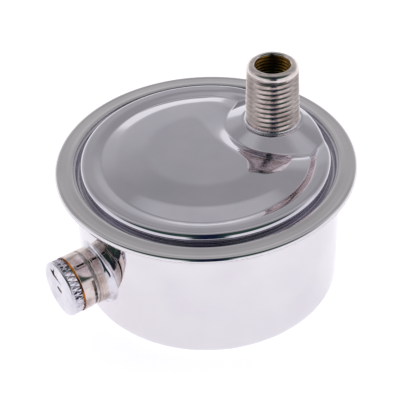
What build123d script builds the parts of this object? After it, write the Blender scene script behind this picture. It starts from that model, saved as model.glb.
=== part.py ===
from build123d import *

import os
from math import asin, cos, degrees, radians, sin, tan

# Adjustable steam-radiator air vent, standing on its closed end. Millimetres, +Z up.
# The origin is the centre of the closed end. The inlet nipple points up, offset towards +X,
# and the adjuster arm points along -X.

os.makedirs("parts", exist_ok=True)

# ---- Driving sizes: pot and its rolled rim
pot_radius = 33.0
pot_height = 32.4  # closed end to the underside of the flange
pot_sheet = 0.6
base_bend = 2.0
rim_bend = 0.6
flange_width = 4.0  # beyond the pot's wall
hem_inset = 0.5  # rolled edge's reach inside the pot's wall
gasket_sheet = 0.2

# ---- Driving sizes: pressed cover
cover_sheet = 0.5
channel_fit = 0.1  # radial gap between the cover's channel and the pot's wall
channel_width = 1.0
channel_depth = 1.9
channel_bend = 0.45
ring_rise = 2.1  # flat ring above the cover's flange
shoulder_bend = 1.5
ring_width = 2.8
ring_slope_width = 2.5
crease_drop = 0.3
dome_rise = 2.57

# ---- Driving sizes: nipple pad and inlet nipple
nipple_inset = 10.2  # nipple's axis inside the shoulder
pad_land = 0.34  # flat of the pad outside the solder
pad_width = 4.2
pad_slope = 24.0
pad_set_in = 0.05  # pad's edge inside the shoulder
funnel_slope = 31.0
funnel_width = 5.5
nipple_length = 16.4  # above the pad
inlet_bore_radius = 4.37  # minor radius of a 1/8 in pipe thread
inlet_mouth_chamfer = 0.6
crest_radius_small = 6.35  # thread crest at the free end
thread_taper = 1 / 32  # radius per length, 1 in 16 on diameter
thread_pitch = 1.337  # 19 threads per inch
thread_depth = 0.85
thread_flat = 0.15
nipple_foot_length = 0.45
nipple_lip_bend = 0.8
spigot_shoulder = 1.1  # nipple's foot outside its spigot
spigot_fit = 0.05
staked_lip_width = 1.0
staked_lip_thickness = 0.6
solder_width = 0.75
solder_height = 0.8

# ---- Driving sizes: splash baffle
baffle_sheet = 0.5
baffle_drop = 6.5  # dish below its ring
baffle_inset = 0.5  # inside the pad's flat
baffle_leg_width = 3.2
baffle_leg_count = 3

# ---- Driving sizes: adjuster arm, as radii about its axis and distances out from the pot's axis
arm_height = 14.9
arm_radius = 7.04
collar_length = 3.2  # outside the pot's wall
running_groove = 0.7
barrel_length = 3.4
seam_thickness = 0.2
cap_length = 3.0
barrel_wall = 1.99
running_fit = 0.05
collar_shoulder = 1.54  # collar outside its inner thread
collar_bore_radius = 3.0
collar_ridge_width = 0.35
collar_ridge_relief = 0.2
flare_width = 0.86
flare_length = 0.9
wall_hole_fit = 0.1
mark_width = 0.4
mark_length = 2.0
mark_depth = 0.3
mark_angle = 72.0
mark_setback = 1.3  # from the running groove to each mark's middle

# ---- Driving sizes: stop, clip and cap
stop_pin_radius = 0.45
stop_pin_inset = 0.95  # from the spigot to the pin's centre
stop_pin_depth = 1.0
notch_depth = 0.7
notch_start = 34.0  # face-view angle where the notch begins at rest
turn_down = 40.0
turn_up = 140.0
stop_play = 1.0
port_hole_radius = 0.8
bore_overrun = 0.8  # collar's bore beyond its side hole
clip_thickness = 0.5
clip_play = 0.3
clip_groove_depth = 0.8
clip_opening = 7.0
cap_wall = 0.69
neck_length = 0.9
neck_wall = 0.45
spigot_reach = 0.7  # spigot beyond the clip
cap_face_thickness = 1.0
cap_rim = 0.8
cap_rim_bend = 0.5
knurl_teeth = 36
knurl_depth = 0.4
recess_depth = 0.3
cap_slot = (1.9, 1.0)
cap_slot_turn = -20.0
# Arrow on the cap's face as shares of its radius, seen from outside: tail, then its swallow tail
arrow_shape = ((0.2, 0.34), (-0.24, 0.54), (-0.21, 0.82), (-0.34, 0.62), (-0.54, 0.60), (-0.36, 0.41))

# ---- Driving sizes: inside the pot, behind the port
gasket_width = 2.7
gasket_thickness = 1.6  # from the bore's crest to the flat face
bracket_sheet = 0.6
bracket_height = 15.0
nut_wall = 1.0
nut_thickness = 2.2
seat_radius = 2.4
seat_bore_radius = 1.1
seat_length = 4.0
seat_nose = 1.2
thread_proud = 0.6  # collar's thread beyond the nut

# ---- Driving sizes: thermostat
blade_thickness = 0.4
blade_width = 8.0
blade_tip = 5.0  # past the port's axis
blade_root = 11.0  # past the foot's start
blade_gap = 4.6  # seat's nose to the blade
nut_clearance = 0.5  # from the nut's corner to the bracket's bend
foot_setback = 3.0  # from the bend to the foot
rivet_setbacks = (6.8, 9.4)  # past the foot's start
rivet_radius = 0.8
rivet_head_radius = 1.2
rivet_head_height = 0.5
pin_radius = 0.9
pin_head_radius = 1.6
pin_head_height = 0.6
pin_fit = 0.08
pin_tip_gap = 0.4  # rest gap between the cone's tip and the seat
pin_cone_length = 1.6
pin_cone_radius = 1.9
pin_land = 0.6
pin_tip_radius = 0.5
pin_tail = 1.6
clip_ring_radius = 1.9
clip_ring_thickness = 0.5
screw_radius = 1.0
screw_setback = 3.0  # past the foot's start
screw_clearance = 0.4  # from the screw's head to the pot's wall
screw_head_radius = 1.9
screw_head_height = 1.2
screw_slot = 0.4
screw_tip_gap = 0.05
locknut_flats = 4.0
locknut_thickness = 1.2

# ---- Levels and radii that several pieces share
pot_bore = pot_radius - pot_sheet
flange_radius = pot_radius + flange_width
hem_inner_radius = pot_radius - hem_inset
flange_top = pot_height + pot_sheet
cover_underside = flange_top + gasket_sheet
cover_level = cover_underside + cover_sheet
hem_top = cover_level + pot_sheet
lip_radius = (hem_top - pot_height) / 2
cover_edge = flange_radius - lip_radius
channel_outer = pot_bore - channel_fit - cover_sheet
shoulder_radius = channel_outer - channel_width
nipple_offset = shoulder_radius - nipple_inset
ring_inner_radius = shoulder_radius - ring_width
crease_radius = ring_inner_radius - ring_slope_width
channel_floor = cover_level - channel_depth
ring_level = cover_level + ring_rise
valley_level = ring_level - crease_drop
nipple_lip_length = nipple_lip_bend + thread_depth / 2
nipple_foot_radius = crest_radius_small + (nipple_length - nipple_foot_length) * thread_taper - thread_flat
pad_top_radius = nipple_foot_radius + solder_width + pad_land
pad_radius = pad_top_radius + pad_width
pad_level = valley_level + pad_width * tan(radians(pad_slope))
nipple_top = pad_level + nipple_length
under_pad = pad_level - cover_sheet
spigot_radius = nipple_foot_radius - spigot_shoulder
staked_lip_radius = spigot_radius + staked_lip_width
baffle_radius = pad_top_radius - baffle_inset
collar_end = pot_radius + collar_length
barrel_start = collar_end + running_groove
barrel_end = barrel_start + barrel_length
collar_bore_end = barrel_start + 2 * port_hole_radius + bore_overrun
cap_start = barrel_end + seam_thickness
cap_end = cap_start + cap_length
clip_start = barrel_end + running_fit
collar_spigot_radius = arm_radius - barrel_wall - running_fit
collar_thread_radius = arm_radius - collar_shoulder
neck_radius = arm_radius - cap_wall
counterbore_radius = neck_radius - neck_wall
clip_radius = counterbore_radius - clip_play
clip_groove_radius = collar_spigot_radius - clip_groove_depth
flare_radius = arm_radius + flare_width
gasket_radius = collar_thread_radius + gasket_width
nut_flats = 2 * (collar_thread_radius + nut_wall)
nut_corner_radius = nut_flats / 3**0.5
stop_pin_circle = collar_spigot_radius + stop_pin_inset
spigot_end = clip_start + clip_thickness + spigot_reach
gasket_face = pot_bore - gasket_thickness
nut_outer = gasket_face - bracket_sheet
nut_inner = nut_outer - nut_thickness
collar_inner_end = nut_inner - thread_proud
seat_tip = collar_inner_end - seat_nose
blade_outer = seat_tip - blade_gap
blade_inner = blade_outer - blade_thickness
bracket_bend = nut_corner_radius + nut_clearance
foot_start = bracket_bend + foot_setback
foot_end = foot_start + blade_root
screw_place = foot_start + screw_setback
rivet_places = [foot_start + setback for setback in rivet_setbacks]
screw_tip = blade_outer + screw_tip_gap
screw_wall = (pot_bore**2 - (screw_place + screw_head_radius) ** 2) ** 0.5
screw_length = screw_wall - screw_clearance - screw_head_height - screw_tip
stop_margin = degrees(asin(stop_pin_radius / stop_pin_circle)) + stop_play
stop_angle = notch_start - turn_down - stop_margin
notch_arc = turn_down + turn_up + 2 * stop_margin

# ---- Shared axes and planes
nipple_axis = Axis((nipple_offset, 0, 0), (0, 0, 1))
arm_axis = Axis((0, 0, arm_height), (-1, 0, 0))
arm_section = Plane(origin=(0, 0, arm_height), x_dir=(-1, 0, 0), z_dir=(0, 1, 0))
nipple_section = Plane(origin=(nipple_offset, 0, 0), x_dir=(1, 0, 0), z_dir=(0, -1, 0))


def arm_face(distance):
    """Plane square to the arm, seen from its free end: x to the right, y up, normal outwards."""
    return Plane(origin=(-distance, 0, arm_height), x_dir=(0, -1, 0), z_dir=(-1, 0, 0))


def save(piece, name):
    piece.label = name
    export_step(piece, f"parts/{name}.step")
    print(f"{name}: {piece.volume:.1f} mm3, {len(piece.solids())} solid(s)")


# ================= Pot: one drawn sheet, its flange rolled back over the cover
with BuildPart() as pot_shell:
    with BuildSketch(Plane.XZ):
        with BuildLine():
            FilletPolyline(
                (0, 0),
                (pot_radius, 0),
                (pot_radius, pot_height),
                (flange_radius, pot_height),
                (flange_radius, hem_top),
                (hem_inner_radius, hem_top),
                radius=[base_bend, rim_bend, lip_radius * 0.999, lip_radius * 0.999],
            )
            offset(amount=pot_sheet, side=Side.LEFT)
        make_face()
    revolve(axis=Axis.Z)
    with BuildSketch(arm_face(pot_radius)):
        Circle(collar_thread_radius + wall_hole_fit)
    extrude(amount=gasket_thickness, both=True, mode=Mode.SUBTRACT)
save(pot_shell.part, "pot_shell")

# ================= Gasket between the pot's flange and the cover
with BuildPart() as rim_gasket:
    with BuildSketch(Plane.XY.offset(flange_top)):
        Circle(cover_edge)
        Circle(pot_radius + rim_bend, mode=Mode.SUBTRACT)
    extrude(amount=gasket_sheet)
save(rim_gasket.part, "rim_gasket")


# ================= Cover: one pressed sheet, the space under its top face less the space under it
def lid_form(depth):
    """Space under the cover's face, from the flange's edge in to the crown, at a depth in the sheet."""
    with BuildPart() as form:
        with BuildSketch(Plane.XZ):
            with BuildLine():
                FilletPolyline(
                    (cover_edge + depth, cover_level - depth),
                    (channel_outer + depth, cover_level - depth),
                    (channel_outer + depth, channel_floor - depth),
                    (shoulder_radius - depth, channel_floor - depth),
                    (shoulder_radius - depth, ring_level - depth),
                    (ring_inner_radius, ring_level - depth),
                    (crease_radius, valley_level - depth),
                    radius=[
                        channel_bend + depth,
                        channel_bend + depth,
                        channel_bend + depth,
                        shoulder_bend - depth,
                        shoulder_bend,
                    ],
                )
                RadiusArc(
                    (crease_radius, valley_level - depth),
                    (0, valley_level + dome_rise - depth),
                    -(crease_radius**2 + dome_rise**2) / (2 * dome_rise),
                )
                Polyline(
                    (0, valley_level + dome_rise - depth),
                    (0, channel_floor - cover_sheet - depth),
                    (cover_edge + depth, channel_floor - cover_sheet - depth),
                    (cover_edge + depth, cover_level - depth),
                )
            make_face()
        revolve(axis=Axis.Z)
        with BuildSketch(nipple_section):
            with BuildLine():
                low = valley_level - depth - cover_sheet
                slope = tan(radians(funnel_slope))
                Polyline(
                    (0, low),
                    (pad_radius - cover_sheet / slope, low),
                    (pad_radius + funnel_width, low + cover_sheet + funnel_width * slope),
                    (0, low + cover_sheet + funnel_width * slope),
                    close=True,
                )
            make_face()
        revolve(axis=nipple_axis, mode=Mode.SUBTRACT)
        add(pad_form(depth))
    return form.part


def pad_form(depth):
    """The nipple pad's raised cone at a depth in the sheet, kept inside the rounded shoulder."""
    with BuildPart() as shoulder:
        with BuildSketch(Plane.XY.offset(cover_underside)):
            Circle(shoulder_radius - depth - pad_set_in)
        extrude(amount=pad_level - depth - cover_underside)
        fillet(shoulder.edges().group_by(Axis.Z)[-1], shoulder_bend - depth)
    top_radius = pad_top_radius - depth * tan(radians(pad_slope / 2))
    foot_radius = pad_radius + 2 * cover_sheet
    foot_level = pad_level - depth - (foot_radius - top_radius) * tan(radians(pad_slope))
    with BuildPart() as cone:
        with BuildSketch(nipple_section):
            with BuildLine():
                Polyline(
                    (0, foot_level),
                    (foot_radius, foot_level),
                    (top_radius, pad_level - depth),
                    (0, pad_level - depth),
                    close=True,
                )
            make_face()
        revolve(axis=nipple_axis)
        add(shoulder.part, mode=Mode.INTERSECT)
    return cone.part


with BuildPart() as cover_plate:
    add(lid_form(0))
    add(lid_form(cover_sheet), mode=Mode.SUBTRACT)
    with BuildSketch(Plane.XY.offset(pad_level)):
        with Locations((nipple_offset, 0)):
            Circle(spigot_radius + spigot_fit)
    extrude(amount=-2 * cover_sheet, mode=Mode.SUBTRACT)
save(cover_plate.part, "cover_plate")


# ================= Inlet nipple: turned, spigot staked under the pad, taper thread outside
def crest_radius(height):
    """Crest radius of the taper thread at a height above the base."""
    return crest_radius_small + (nipple_top - height) * thread_taper


thread_start = pad_level + nipple_foot_length
thread_count = int((nipple_length - nipple_foot_length - nipple_lip_length) / thread_pitch)
thread_end = thread_start + thread_count * thread_pitch
thread_outline = []
for turn in range(thread_count):
    root = thread_start + turn * thread_pitch
    crest = root + thread_pitch / 2
    thread_outline.append((crest_radius(root) - thread_depth, root))
    thread_outline.append((crest_radius(crest), crest - thread_flat / 2))
    thread_outline.append((crest_radius(crest), crest + thread_flat / 2))
thread_outline.append((crest_radius(thread_end) - thread_depth, thread_end))

with BuildPart() as inlet_nipple:
    with BuildSketch(nipple_section):
        with BuildLine():
            Polyline(
                (inlet_bore_radius, nipple_top - inlet_mouth_chamfer),
                (inlet_bore_radius, under_pad - staked_lip_thickness),
                (staked_lip_radius, under_pad - staked_lip_thickness),
                (staked_lip_radius, under_pad),
                (spigot_radius, under_pad),
                (spigot_radius, pad_level),
                (nipple_foot_radius, pad_level),
                (nipple_foot_radius, thread_start - thread_depth / 2),
                *thread_outline,
                (crest_radius_small, thread_end + thread_depth / 2),
                (crest_radius_small, nipple_top - nipple_lip_bend),
            )
            lip_end = (crest_radius_small - nipple_lip_bend, nipple_top)
            RadiusArc((crest_radius_small, nipple_top - nipple_lip_bend), lip_end, -nipple_lip_bend)
            Polyline(
                lip_end,
                (inlet_bore_radius + inlet_mouth_chamfer, nipple_top),
                (inlet_bore_radius, nipple_top - inlet_mouth_chamfer),
            )
        make_face()
    revolve(axis=nipple_axis)
save(inlet_nipple.part, "inlet_nipple")

# ================= Solder ring, a hollow fillet at the nipple's foot
with BuildPart() as nipple_solder_ring:
    with BuildSketch(nipple_section):
        with BuildLine():
            Polyline(
                (nipple_foot_radius, pad_level + solder_height),
                (nipple_foot_radius, pad_level),
                (nipple_foot_radius + solder_width, pad_level),
            )
            ThreePointArc(
                (nipple_foot_radius + solder_width, pad_level),
                (nipple_foot_radius + solder_width * 0.35, pad_level + solder_height * 0.35),
                (nipple_foot_radius, pad_level + solder_height),
            )
        make_face()
    revolve(axis=nipple_axis)
save(nipple_solder_ring.part, "nipple_solder_ring")

# ================= Splash baffle: ring under the pad, three legs and a dish
baffle_plane = Plane.XY.offset(under_pad)
with BuildPart() as splash_baffle:
    with BuildSketch(Plane(origin=(nipple_offset, 0, under_pad))):
        Circle(baffle_radius)
        Circle(staked_lip_radius + spigot_fit, mode=Mode.SUBTRACT)
    extrude(amount=-baffle_sheet)
    with BuildSketch(Plane(origin=(nipple_offset, 0, under_pad - baffle_sheet))):
        with PolarLocations(baffle_radius - baffle_sheet / 2, baffle_leg_count):
            Rectangle(baffle_sheet, baffle_leg_width)
    extrude(amount=-baffle_drop)
    with BuildSketch(Plane(origin=(nipple_offset, 0, under_pad - baffle_sheet - baffle_drop))):
        Circle(baffle_radius)
    extrude(amount=baffle_sheet)
save(splash_baffle.part, "splash_baffle")


# ================= Adjuster arm, fixed pieces
def index_mark(distance):
    """Cutter for one engraved index line along the arm."""
    height = arm_radius - mark_depth
    angle = radians(mark_angle)
    face = Plane(
        origin=(-distance, -height * cos(angle), arm_height + height * sin(angle)),
        x_dir=(-1, 0, 0),
        z_dir=(0, -cos(angle), sin(angle)),
    )
    with BuildPart() as mark:
        with BuildSketch(face):
            SlotOverall(mark_length, mark_width)
        extrude(amount=2 * mark_depth)
    return mark.part


with BuildPart() as pot_form:
    Cylinder(pot_radius, pot_height, align=(Align.CENTER, Align.CENTER, Align.MIN))

with BuildPart() as bore_form:
    Cylinder(pot_bore, pot_height, align=(Align.CENTER, Align.CENTER, Align.MIN))

# Collar: saddled on the wall, threaded spigot inwards, plain bearing spigot outwards
with BuildPart() as port_collar:
    with BuildSketch(arm_section):
        with BuildLine():
            Polyline(
                (pot_radius - gasket_thickness, 0),
                (pot_radius - gasket_thickness, arm_radius),
                (collar_end - 3 * collar_ridge_width, arm_radius),
                (collar_end - 3 * collar_ridge_width, arm_radius - collar_ridge_relief),
                (collar_end - 2 * collar_ridge_width, arm_radius - collar_ridge_relief),
                (collar_end - 2 * collar_ridge_width, arm_radius),
                (collar_end, arm_radius),
                (collar_end, collar_spigot_radius),
                (clip_start, collar_spigot_radius),
                (clip_start, clip_groove_radius),
                (clip_start + clip_thickness, clip_groove_radius),
                (clip_start + clip_thickness, collar_spigot_radius),
                (spigot_end, collar_spigot_radius),
                (spigot_end, 0),
                close=True,
            )
        make_face()
    revolve(axis=arm_axis)
    add(pot_form.part, mode=Mode.SUBTRACT)
    with BuildSketch(arm_face(collar_inner_end)):
        Circle(collar_thread_radius)
    extrude(amount=collar_end - collar_inner_end)
    with BuildSketch(arm_face(collar_inner_end)):
        Circle(collar_bore_radius)
    extrude(amount=collar_bore_end - collar_inner_end, mode=Mode.SUBTRACT)
    with BuildSketch(Plane(origin=(-(barrel_start + port_hole_radius), 0, arm_height), z_dir=(0, 0, -1))):
        Circle(port_hole_radius)
    extrude(amount=arm_radius, mode=Mode.SUBTRACT)
    with BuildSketch(arm_face(collar_end)):
        with PolarLocations(stop_pin_circle, 1, start_angle=stop_angle):
            Circle(stop_pin_radius)
    extrude(amount=-stop_pin_depth, mode=Mode.SUBTRACT)
    add(index_mark(collar_end - mark_setback), mode=Mode.SUBTRACT)
save(port_collar.part, "port_collar")

# Braze skirt around the collar's foot
with BuildPart() as port_flare:
    with BuildSketch(arm_section):
        with BuildLine():
            Polyline(
                (pot_radius + flare_length, arm_radius),
                (pot_radius - 2 * flare_length, arm_radius),
                (pot_radius - 2 * flare_length, flare_radius + flare_length),
                (pot_radius - flare_length / 2, flare_radius),
            )
            RadiusArc(
                (pot_radius - flare_length / 2, flare_radius),
                (pot_radius + flare_length, arm_radius),
                -2 * flare_length,
            )
        make_face()
    revolve(axis=arm_axis)
    add(pot_form.part, mode=Mode.SUBTRACT)
save(port_flare.part, "port_flare")

# Saddle gasket between the pot's wall and the bracket
with BuildPart() as port_gasket:
    with BuildSketch(arm_face(gasket_face)):
        Circle(gasket_radius)
        Circle(collar_thread_radius + wall_hole_fit, mode=Mode.SUBTRACT)
    extrude(amount=pot_sheet + gasket_thickness)
    add(bore_form.part, mode=Mode.INTERSECT)
save(port_gasket.part, "port_gasket")

# Nut that draws the collar, gasket and bracket together
with BuildPart() as port_nut:
    with BuildSketch(arm_face(nut_inner)):
        RegularPolygon(nut_flats / 2, 6, major_radius=False)
        Circle(collar_thread_radius, mode=Mode.SUBTRACT)
    extrude(amount=nut_thickness)
save(port_nut.part, "port_nut")

# Valve seat pressed into the collar's inner end
with BuildPart() as port_seat:
    with BuildSketch(arm_section):
        with BuildLine():
            Polyline(
                (seat_tip, seat_bore_radius + seat_nose / 3),
                (seat_tip + seat_nose / 3, seat_bore_radius),
                (collar_inner_end + seat_length, seat_bore_radius),
                (collar_inner_end + seat_length, collar_bore_radius),
                (collar_inner_end, collar_bore_radius),
                (seat_tip + seat_nose / 3, seat_radius),
                (seat_tip, seat_radius - seat_nose / 3),
                close=True,
            )
        make_face()
    revolve(axis=arm_axis)
save(port_seat.part, "port_seat")

# Friction washer that fills the running groove
with BuildPart() as friction_washer:
    with BuildSketch(arm_face(collar_end)):
        Circle(stop_pin_circle + stop_pin_radius)
        Circle(collar_spigot_radius, mode=Mode.SUBTRACT)
        with PolarLocations(stop_pin_circle, 1, start_angle=stop_angle):
            Circle(stop_pin_radius + running_fit, mode=Mode.SUBTRACT)
    extrude(amount=running_groove - running_fit)
save(friction_washer.part, "friction_washer")

# Stop pin in the collar's end, reaching through the washer into the barrel's notch
with BuildPart() as stop_pin:
    with BuildSketch(arm_face(collar_end - stop_pin_depth)):
        with PolarLocations(stop_pin_circle, 1, start_angle=stop_angle):
            Circle(stop_pin_radius)
    extrude(amount=stop_pin_depth + running_groove + notch_depth - 2 * running_fit)
save(stop_pin.part, "stop_pin")

# Open ring sprung into the spigot's groove, which keeps the barrel on
with BuildPart() as retaining_clip:
    with BuildSketch(arm_face(clip_start)):
        Circle(clip_radius)
        Circle(clip_groove_radius, mode=Mode.SUBTRACT)
        with Locations((0, clip_radius)):
            Rectangle(clip_opening, 2 * clip_radius, mode=Mode.SUBTRACT)
    extrude(amount=clip_thickness)
save(retaining_clip.part, "retaining_clip")

# ================= Adjuster, the pieces that turn
with BuildPart() as valve_barrel:
    with BuildSketch(arm_section):
        with BuildLine():
            Polyline(
                (barrel_start, collar_spigot_radius + running_fit),
                (barrel_start, arm_radius),
                (barrel_end, arm_radius),
                (barrel_end, neck_radius),
                (barrel_end + neck_length, neck_radius),
                (barrel_end + neck_length, counterbore_radius),
                (barrel_end, counterbore_radius),
                (barrel_end, collar_spigot_radius + running_fit),
                close=True,
            )
        make_face()
    revolve(axis=arm_axis)
    with BuildSketch(arm_face(barrel_start)):
        with BuildLine():
            CenterArc((0, 0), 2 * arm_radius, notch_start, -notch_arc)
            Polyline(
                (2 * arm_radius * cos(radians(notch_start)), 2 * arm_radius * sin(radians(notch_start))),
                (0, 0),
                (
                    2 * arm_radius * cos(radians(notch_start - notch_arc)),
                    2 * arm_radius * sin(radians(notch_start - notch_arc)),
                ),
            )
        make_face()
    extrude(amount=notch_depth, mode=Mode.SUBTRACT)
    add(index_mark(barrel_start + mark_setback), mode=Mode.SUBTRACT)
save(valve_barrel.part, "valve_barrel")

with BuildPart() as cap_seal_ring:
    with BuildSketch(arm_face(barrel_end)):
        Circle(arm_radius)
        Circle(neck_radius, mode=Mode.SUBTRACT)
    extrude(amount=seam_thickness)
save(cap_seal_ring.part, "cap_seal_ring")

with BuildPart() as adjuster_cap:
    with BuildSketch(arm_face(cap_start)):
        Circle(arm_radius)
    extrude(amount=cap_end - cap_start)
    fillet(adjuster_cap.edges().sort_by(Axis.X)[0], cap_rim_bend)
    with BuildSketch(arm_face(cap_start)):
        Circle(neck_radius)
    extrude(amount=cap_end - cap_face_thickness - cap_start, mode=Mode.SUBTRACT)
    with BuildSketch(arm_face(cap_start)):
        with PolarLocations(arm_radius, knurl_teeth):
            Rectangle(knurl_depth * 2**0.5, knurl_depth * 2**0.5, rotation=45)
    extrude(amount=cap_end - cap_rim - cap_start, mode=Mode.SUBTRACT)
    with BuildSketch(arm_face(cap_end)):
        with BuildLine():
            Polyline(*[(arm_radius * x, arm_radius * y) for x, y in arrow_shape], close=True)
        make_face()
        Rectangle(*cap_slot, rotation=cap_slot_turn)
    extrude(amount=-recess_depth, mode=Mode.SUBTRACT)
save(adjuster_cap.part, "adjuster_cap")

# ================= Thermostat: bracket, bimetal blade and the pin it carries
with BuildPart() as element_bracket:
    with BuildSketch(Plane.XY.offset(arm_height - bracket_height / 2)):
        with BuildLine():
            Polyline(
                (-nut_outer, -nut_corner_radius),
                (-nut_outer, bracket_bend),
                (-blade_outer, foot_start),
                (-blade_outer, foot_end),
            )
            offset(amount=bracket_sheet, side=Side.LEFT)
        make_face()
    extrude(amount=bracket_height)
    with BuildSketch(arm_face(nut_outer)):
        Circle(collar_thread_radius)
    extrude(amount=gasket_thickness, both=True, mode=Mode.SUBTRACT)
    with BuildSketch(arm_face(blade_outer)):
        with Locations(*[(-place, 0) for place in rivet_places]):
            Circle(rivet_radius)
        with Locations((-screw_place, 0)):
            Circle(screw_radius)
    extrude(amount=bracket_sheet, mode=Mode.SUBTRACT)
save(element_bracket.part, "element_bracket")

with BuildPart() as bimetal_blade:
    with BuildSketch(arm_face(blade_inner)):
        with Locations(((blade_tip - foot_end) / 2, 0)):
            Rectangle(blade_tip + foot_end, blade_width)
        Circle(pin_radius + pin_fit, mode=Mode.SUBTRACT)
        with Locations(*[(-place, 0) for place in rivet_places]):
            Circle(rivet_radius, mode=Mode.SUBTRACT)
    extrude(amount=blade_thickness)
save(bimetal_blade.part, "bimetal_blade")

rivet_grip_start = blade_inner
rivet_grip = blade_thickness + bracket_sheet
with BuildPart() as blade_rivets:
    for start, length, radius in (
        (rivet_grip_start - rivet_head_height, rivet_head_height, rivet_head_radius),
        (rivet_grip_start, rivet_grip, rivet_radius),
        (rivet_grip_start + rivet_grip, rivet_head_height, rivet_head_radius),
    ):
        with BuildSketch(arm_face(start)):
            with Locations(*[(-place, 0) for place in rivet_places]):
                Circle(radius)
        extrude(amount=length)
save(blade_rivets.part, "blade_rivets")

with BuildPart() as shutoff_pin:
    with BuildSketch(arm_section):
        with BuildLine():
            cone_end = seat_tip - pin_tip_gap
            shank_end = cone_end - pin_cone_length
            head_face = blade_outer + pin_fit
            Polyline(
                (blade_inner - pin_tail, 0),
                (blade_inner - pin_tail, pin_radius),
                (head_face, pin_radius),
                (head_face, pin_head_radius),
                (head_face + pin_head_height, pin_head_radius),
                (head_face + pin_head_height, pin_radius),
                (shank_end - pin_land, pin_radius),
                (shank_end - pin_land, pin_cone_radius),
                (shank_end, pin_cone_radius),
                (cone_end, pin_tip_radius),
                (cone_end, 0),
                close=True,
            )
        make_face()
    revolve(axis=arm_axis)
save(shutoff_pin.part, "shutoff_pin")

with BuildPart() as pin_clip:
    with BuildSketch(arm_face(blade_inner - pin_fit - clip_ring_thickness)):
        Circle(clip_ring_radius)
        Circle(pin_radius, mode=Mode.SUBTRACT)
    extrude(amount=clip_ring_thickness)
save(pin_clip.part, "pin_clip")

with BuildPart() as calibration_screw:
    with BuildSketch(arm_face(screw_tip)):
        with Locations((-screw_place, 0)):
            Circle(screw_radius)
    extrude(amount=screw_length)
    with BuildSketch(arm_face(screw_tip + screw_length)):
        with Locations((-screw_place, 0)):
            Circle(screw_head_radius)
    extrude(amount=screw_head_height)
    with BuildSketch(arm_face(screw_tip + screw_length + screw_head_height)):
        with Locations((-screw_place, 0)):
            Rectangle(2 * screw_head_radius, screw_slot)
    extrude(amount=-screw_head_height / 2, mode=Mode.SUBTRACT)
save(calibration_screw.part, "calibration_screw")

with BuildPart() as calibration_locknut:
    with BuildSketch(arm_face(blade_outer + bracket_sheet)):
        with Locations((-screw_place, 0)):
            RegularPolygon(locknut_flats / 2, 6, major_radius=False)
            Circle(screw_radius, mode=Mode.SUBTRACT)
    extrude(amount=locknut_thickness)
save(calibration_locknut.part, "calibration_locknut")
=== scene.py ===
from math import pi, radians, tan

import bmesh
import bpy
import numpy as np
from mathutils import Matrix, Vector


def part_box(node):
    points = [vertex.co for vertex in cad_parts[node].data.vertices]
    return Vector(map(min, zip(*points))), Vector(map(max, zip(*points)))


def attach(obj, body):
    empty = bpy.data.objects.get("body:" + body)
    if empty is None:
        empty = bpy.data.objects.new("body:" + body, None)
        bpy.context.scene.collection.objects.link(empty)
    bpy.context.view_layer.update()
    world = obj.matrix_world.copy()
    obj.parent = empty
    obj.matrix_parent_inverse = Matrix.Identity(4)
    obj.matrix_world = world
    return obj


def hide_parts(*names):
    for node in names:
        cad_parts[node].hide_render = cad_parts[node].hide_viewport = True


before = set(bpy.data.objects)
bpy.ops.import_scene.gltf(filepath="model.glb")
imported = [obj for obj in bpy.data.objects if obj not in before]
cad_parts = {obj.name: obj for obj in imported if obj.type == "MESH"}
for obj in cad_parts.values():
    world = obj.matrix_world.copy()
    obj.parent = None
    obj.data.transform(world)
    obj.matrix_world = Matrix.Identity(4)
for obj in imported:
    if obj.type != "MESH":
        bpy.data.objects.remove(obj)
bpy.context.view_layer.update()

# ================= Studio
# A white table and sweep, a dull grey ceiling and a dark room behind the camera. Plated metal
# shows little but the room around it, so the room's bands are set by their angle above the sweep.
camera_azimuth = radians(33.5)
table_size = 6.0
room_bands = [
    (0, 1.06), (12, 1.0), (15, 0.66), (19, 0.575), (28, 0.55), (33, 0.52), (38, 0.46), (43, 0.41),
    (49, 0.385), (58, 0.39), (62, 0.5), (68, 0.57), (76, 0.55), (82, 0.4), (92, 0.38), (98, 0.2),
    (106, 0.02), (180, 0.02),
]
dark_middle = (0.008, 0.013, 0.040, 1)
dark_sides = (0.03, 0.07, 0.055, 1)
low_light = (0.92, 0.91, 0.95, 1)


def linear(colour):
    """Linear RGBA of an sRGB hex colour."""
    parts = np.array([int(colour[i:i + 2], 16) for i in (1, 3, 5)]) / 255
    parts = np.where(parts <= 0.04045, parts / 12.92, ((parts + 0.055) / 1.055) ** 2.4)
    return (*parts, 1)


def add_node(tree, kind, inputs=None, stops=None, **settings):
    """Add a shader node with its settings, its colour stops, and a value or link for each input."""
    node = tree.nodes.new("ShaderNode" + kind)
    for name, value in settings.items():
        setattr(node, name, value)
    for place, (at, colour) in enumerate(stops or []):
        ramp = node.color_ramp.elements
        element = ramp[place] if place < len(ramp) else ramp.new(at)
        element.position = at
        element.color = colour
    for name, value in (inputs or {}).items():
        if isinstance(value, bpy.types.NodeSocket):
            tree.links.new(value, node.inputs[name])
        else:
            node.inputs[name].default_value = value
    return node


scene = bpy.context.scene
scene.view_settings.view_transform = "Standard"

camera = bpy.data.objects.new("camera", bpy.data.cameras.new("camera"))
camera.location = (-0.12936, -0.19544, 0.21264)
camera.rotation_euler = (radians(50.7412), radians(2.0386), radians(-34.7234))
camera.data.lens = 108.1
camera.data.clip_start = 0.01
scene.collection.objects.link(camera)
scene.camera = camera

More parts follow.
